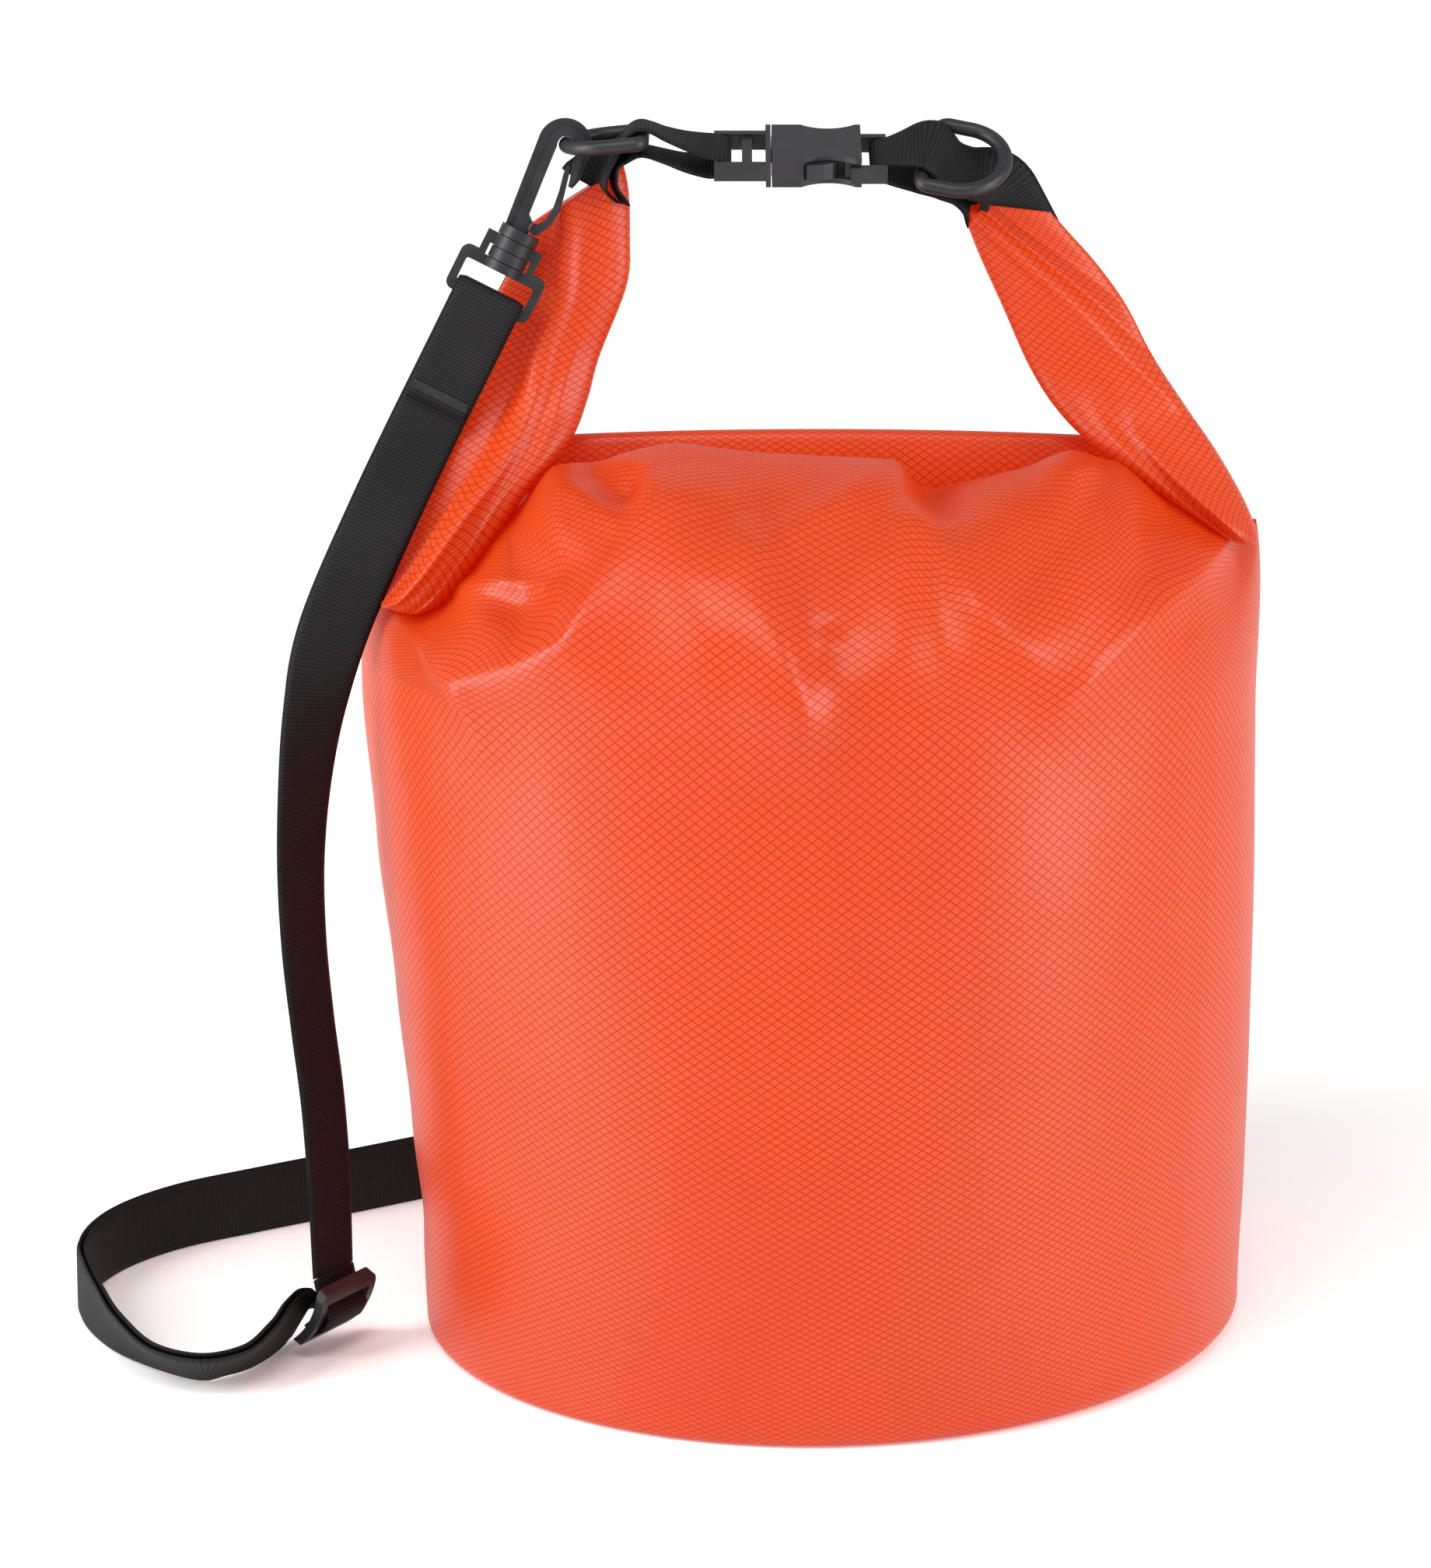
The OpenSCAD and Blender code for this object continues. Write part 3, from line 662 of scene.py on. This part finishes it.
def right_crease(share, along, thick):
    """The roll turns over here: its outer part passes behind along a slanting fold."""
    line = 0.06 + 2.1 * along
    lap = -0.3 * thick * smooth(line, line + 0.1, share) * (1 - smooth(0.4, 0.5, along))
    lip = 0.12 * thick * math.exp(-(((share - line + 0.1) / 0.09) ** 2))
    pleat = 0.08 * thick * math.exp(-abs(share - line - 0.3) / 0.08)
    pleat *= 1 - smooth(0.2, 0.4, along)
    groove = -0.09 * thick * math.exp(-(((share - 0.62 + 0.4 * along) / 0.07) ** 2))
    groove *= smooth(0.35, 0.5, along)
    ridge = 0.06 * thick * math.exp(-abs(share - 0.3 - 0.3 * along) / 0.09)
    ridge *= smooth(0.3, 0.5, along)
    wrinkle = 0.03 * thick * math.sin(17 * along - 8 * share)
    return lap + (lip + pleat + groove + ridge + wrinkle) * (1 - smooth(0.88, 1, along))


left_arm = oval_piece("left_arm_cloth", [
    (-53.2, 337.4, -79.9, 320.3, -1, 9), (-51.8, 330, -82.5, 314, -1, 10),
    (-51.5, 318, -86.5, 306, -1, 12), (-52.3, 303.9, -91, 298, -2, 13),
    (-60.1, 283.8, -98, 287, -4, 14), (-63.5, 272, -104, 272, -8, 17),
    (-68, 262, -110.5, 256, -14, 24), (-79, 250, -117, 241, -20, 32),
    (-92, 233, -120.5, 229, -26, 36), (-101, 222, -122.3, 223.5, -29, 32),
    (-108, 216.5, -122.3, 220, -31, 18), (-112, 215.5, -121.5, 218, -30, 7),
], left_crease)
right_arm = oval_piece("right_arm_cloth", [
    (41.3, 327.3, 66.6, 324, -1, 9), (43, 321, 72, 318, -1, 11), (47, 311, 80, 309, -1, 13),
    (53, 298, 88, 298, -2, 14), (60.5, 281.5, 95.5, 284, -4, 15), (68, 270, 105, 270, -8, 18),
    (78, 260.5, 113, 258.9, -13, 24), (94, 250, 120, 247.5, -19, 28),
    (108, 241.5, 123.5, 240, -24, 24),
    (115, 237, 124.5, 236.5, -27, 15), (119, 235, 124, 235, -27, 6),
], right_crease)

# The roll's left end and length, its middle's height, half its height and depth, and its
# bow, in millimetres
roll_from, roll_length = -84, 172
roll_middle, roll_tall, roll_deep, roll_bow = 247, 12.6, 4.4, 2.2
roll_cloth = 10.8 * MM  # of cloth for each radian round it


def roll_place(u, v):
    """The flat roll between the arms, bowed up a little at its middle."""
    turn = u * math.tau
    x = roll_from + v * roll_length
    y = roll_deep * math.copysign(abs(math.cos(turn)) ** 0.6, math.cos(turn))
    z = roll_middle + roll_tall * math.sin(turn) + roll_bow * (1 - (v * 2 - 1) ** 2)
    return Vector((x, y, z)) * MM, (x * MM, turn * roll_cloth)


roll = wrap("mouth_roll", 40, 90, roll_place, ripstop)
sew(roll, 0.02 * MM)
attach(roll, "root")
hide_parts("rolled_mouth")
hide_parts("left_arm")
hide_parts("right_arm")


# ---- base ----
# A disc of the same ripstop, cut round and welded into the tube's lower edge. It bulges
# up half a millimetre between its middle and the seam, so it rests on those two.

def base_place(u, v):
    edge = body_ring(0, u * math.tau)
    middle = Vector((outline[0][3], 0, 0))
    point = middle + (edge - middle) * v
    point.z = 0.5 * math.sin(v * math.pi)
    return point * MM, (point.x * MM, point.y * MM)


base = wrap("bag_base", 96, 24, base_place, ripstop)
mesh = bmesh.new()
mesh.from_mesh(base.data)
bmesh.ops.remove_doubles(mesh, verts=mesh.verts, dist=0.02 * MM)
bmesh.ops.reverse_faces(mesh, faces=[f for f in mesh.faces if f.normal.z > 0])
mesh.to_mesh(base.data)
mesh.free()
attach(base, "root")
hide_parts("base_panel")


# ---- seam tapes ----
# Clear orange tape heat-sealed over the needle holes, inside: round the foot of the tube
# and up the seam at its back.

def tape_place(u, v):
    """Round the foot, from 7 to 22 mm above the floor."""
    angle = u * math.tau
    ring = body_ring(shoulder_share * (0.055 + 0.1 * v), angle)
    inward = Vector((math.cos(angle), math.sin(angle), 0)) * 1.6
    return (ring - inward) * MM, (u * 0.7, v * 0.017)


def upright_place(u, v):
    """Up the back seam to where the shoulder turns in."""
    ring = body_ring(0.14 + 0.6 * v, math.pi / 2 + (u - 0.5) * 0.12)
    return (ring + Vector((0, -1.8, 0))) * MM, (u * 0.014, v * 0.2)


def tape_finish():
    tape = Finish("seam_tape", Specular_IOR_Level=0.4)
    cloud = tape.noise(tape.place(), 90.0, 3.0)
    tape.feed("Base Color", tape.mix(cloud, (0.8, 0.16, 0.05), (0.86, 0.24, 0.1)))
    tape.feed("Roughness", 0.3 + cloud * 0.2)
    tape.bump(tape.noise(tape.place(), 500.0), 0.05 * MM)
    return tape.material


tape_plastic = tape_finish()
for name, place, across, along in (("base_seam_tape", tape_place, 120, 4),
                                   ("back_seam_tape", upright_place, 4, 60)):
    piece = wrap(name + "_strip", across, along, place, tape_plastic)
    thicken = piece.modifiers.new("thickness", "SOLIDIFY")
    thicken.thickness = 0.3 * MM
    whole = piece.evaluated_get(bpy.context.evaluated_depsgraph_get())
    solid = bpy.data.meshes.new_from_object(whole)
    piece.modifiers.clear()
    piece.data = solid
    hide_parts(name)
    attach(piece, "root")


# ---- handle webbing ----
# A short length of the strap's webbing at each end of the roll. It is sewn into the arm,
# goes through the D-ring and round the buckle's bar, and comes back into the arm.

left_leg = stations([
    [[-62, -1.5, 331.5], [0.8, -0.45, 0.4]], [[-59.6, -4, 336.4], [0.42, -0.9, 0.12]],
    [[-55.8, -5.8, 342], [0.15, -0.98, 0]], [[-53, -6, 346], [0, -1, 0]],
    [[-51, -6, 348.3], [0, -1, 0]], [[-48.4, -6, 349.3], [0, -1, 0]],
    [[-45.2, -6, 348.6], [0, -1, 0]], [[-41.5, -5.9, 346.9], [0, -1, -0.04]],
    [[-36, -5.6, 345], [0, -1, -0.12]], [[-30.2, -5.4, 343.5], [0, -0.974, -0.225]],
    [[-26.6, -5.5, 343.1], [0, -0.974, -0.225]], [[-24.4, -5.3, 342.2], [0, -0.974, -0.225]],
    [[-23.7, -5, 340.6], [0, -0.974, -0.225]], [[-24.4, -4.7, 338.9], [0, -0.974, -0.225]],
    [[-26.6, -4.5, 338.1], [0, -0.974, -0.225]], [[-30.2, -4.5, 337.9], [0, -0.974, -0.225]],
    [[-36, -5, 338.7], [0, -1, -0.12]], [[-42, -5.6, 340.6], [0, -1, -0.04]],
    [[-47.6, -6, 342.1], [0, -1, 0]], [[-51.4, -5.6, 341], [0.1, -0.99, 0]],
    [[-54.4, -4.6, 339.2], [0.3, -0.95, 0.05]], [[-57.6, -3, 335.2], [0.62, -0.75, 0.2]],
    [[-59.6, -1.4, 330.4], [0.8, -0.45, 0.4]],
])
right_leg = stations([
    [[60, 0, 317], [0.97, 0.05, -0.1]],
    [[55, -1, 326.5], [0.95, 0.1, 0.3]], [[52.5, -1.8, 331], [0.9, 0.35, 0.25]],
    [[48.5, -3.2, 334.2], [0.7, 0.65, 0.3]], [[43.6, -4.5, 335.6], [0.45, 0.77, 0.45]],
    [[39.1, -5.4, 337.5], [0.276, 0.792, 0.544]], [[36.6, -6.4, 340.4], [0.276, 0.792, 0.544]],
    [[34.3, -7.5, 343.3], [0.276, 0.792, 0.544]], [[31.2, -7.1, 344.2], [0.276, 0.792, 0.544]],
    [[26.6, -6.7, 343.6], [0.2, 0.87, 0.45]],
    [[22, -5.9, 342.6], [0.08, 0.95, 0.3]], [[18.9, -5.3, 341.7], [0, 0.974, 0.225]],
    [[16.8, -5, 340.8], [0, 0.974, 0.225]], [[16.1, -4.7, 339.1], [0, 0.974, 0.225]],
    [[16.8, -4.3, 337.4], [0, 0.974, 0.225]], [[18.9, -4.1, 336.6], [0, 0.974, 0.225]],
    [[23.5, -3.8, 335.6], [0.03, 0.96, 0.28]], [[29, -3.2, 335.2], [0.12, 0.9, 0.42]],
    [[34.5, -2.4, 334.8], [0.3, 0.82, 0.49]], [[40, -1.2, 333.4], [0.45, 0.77, 0.4]],
    [[45.2, -0.2, 330.6], [0.7, 0.65, 0.25]], [[49.5, 0.8, 326.8], [0.95, 0.3, -0.1]],
])
for name, leg in (("left_handle_webbing", left_leg), ("right_handle_webbing", right_leg)):
    piece = ribbon(name + "_cloth", spline(leg, 4))
    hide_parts(name)
    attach(piece, "root")


# ---- moulded plastics ----
# The rings, buckle, hooks and slider: black acetal mouldings with a fine spark-eroded
# grain. They snap together, or the webbing is sewn round their bars.

def plastic_finish():
    plastic = Finish("black_plastic", Specular_IOR_Level=0.38)
    grain = plastic.noise(plastic.place(), 5200.0, 3.0, 0.6)
    cloud = plastic.noise(plastic.place(), 180.0, 3.0)
    black = plastic.mix(cloud.step(0.3, 0.7), (0.010, 0.0105, 0.012), (0.017, 0.0175, 0.020))
    plastic.feed("Base Color", black)
    plastic.feed("Roughness", 0.34 + cloud * 0.1 + grain * 0.08)
    plastic.bump(grain, 0.03 * MM, 0.6)
    return plastic.material


black_plastic = plastic_finish()
mouldings = (
    "left_ring", "right_ring", "buckle_male", "buckle_prong_rear", "buckle_prong_front",
    "buckle_female", "near_hook", "near_gate", "near_loop", "far_hook", "far_gate",
    "far_loop", "strap_slider",
)
for name in mouldings:
    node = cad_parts[name]
    node.data.materials.clear()
    node.data.materials.append(black_plastic)


# ---- stiffener and stitching ----
# A strip of plastic sheet in the mouth's hem, which the roll turns round, and the bar
# tack of black thread that holds the strap's end below the near hook.

def plain_finish(name, dark, light, scale, roughness, relief):
    finish = Finish(name, Specular_IOR_Level=0.3)
    cloud = finish.noise(finish.place(), scale, 3.0)
    finish.feed("Base Color", finish.mix(cloud.step(0.3, 0.7), dark, light))
    finish.feed("Roughness", roughness + cloud * 0.15)
    finish.bump(cloud, relief)
    return finish.material


sewn_in = {
    "mouth_stiffener": plain_finish(
        "stiffener_sheet", (0.72, 0.72, 0.69), (0.8, 0.8, 0.78), 120.0, 0.42, 0.05 * MM),
    "strap_near_tack": plain_finish(
        "black_thread", (0.004, 0.004, 0.005), (0.02, 0.02, 0.022), 1800.0, 0.6, 0.2 * MM),
}
for name, material in sewn_in.items():
    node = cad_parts[name]
    node.data.materials.clear()
    node.data.materials.append(material)


# ---- studio ----
# White paper that brightens behind the bag, a pale sky, two tall softboxes at the sides
# that draw the long bands of light on the cloth, and a wide one above for the shoulders.

floor_mesh = bmesh.new()
bmesh.ops.create_grid(floor_mesh, x_segments=1, y_segments=1, size=20)
floor = bpy.data.objects.new("floor", bpy.data.meshes.new("floor"))
floor_mesh.to_mesh(floor.data)
floor_mesh.free()
bpy.context.collection.objects.link(floor)
paper = Finish("floor", 0.7, Base_Color=(0.94, 0.94, 0.94, 1), Emission_Strength=1.0)
away = paper.node("ShaderNodeSeparateXYZ", {}, paper.place(), output=1).step(0.1, 1.3)
paper.feed("Emission Color", paper.mix(away, (0.12, 0.12, 0.12), (0.55, 0.55, 0.55)))
floor.data.materials.append(paper.material)

world = bpy.data.worlds.new("studio")
world.use_nodes = True
world.node_tree.nodes["Background"].inputs["Color"].default_value = (1, 1, 1, 1)
world.node_tree.nodes["Background"].inputs["Strength"].default_value = 0.5
bpy.context.scene.world = world


def softbox(name, azimuth, height, distance, width, tall, power):
    """An area light at that many degrees round from the front, aimed at the bag."""
    light = bpy.data.lights.new(name, "AREA")
    light.shape = "RECTANGLE"
    light.size, light.size_y, light.energy = width, tall, power
    box = bpy.data.objects.new(name, light)
    bpy.context.collection.objects.link(box)
    turn = math.radians(azimuth)
    box.location = (distance * math.sin(turn), -distance * math.cos(turn), height)
    aim = Vector((0, 0, 0.16)) - box.location
    box.rotation_euler = aim.to_track_quat("-Z", "Y").to_euler()


softbox("left_softbox", -66, 0.42, 0.8, 0.34, 0.82, 7.8)
softbox("right_softbox", 57, 0.42, 0.8, 0.28, 0.82, 6.2)
softbox("top_softbox", -15, 1.5, 0.9, 0.8, 0.6, 9.5)

bpy.context.scene.view_settings.view_transform = "Standard"
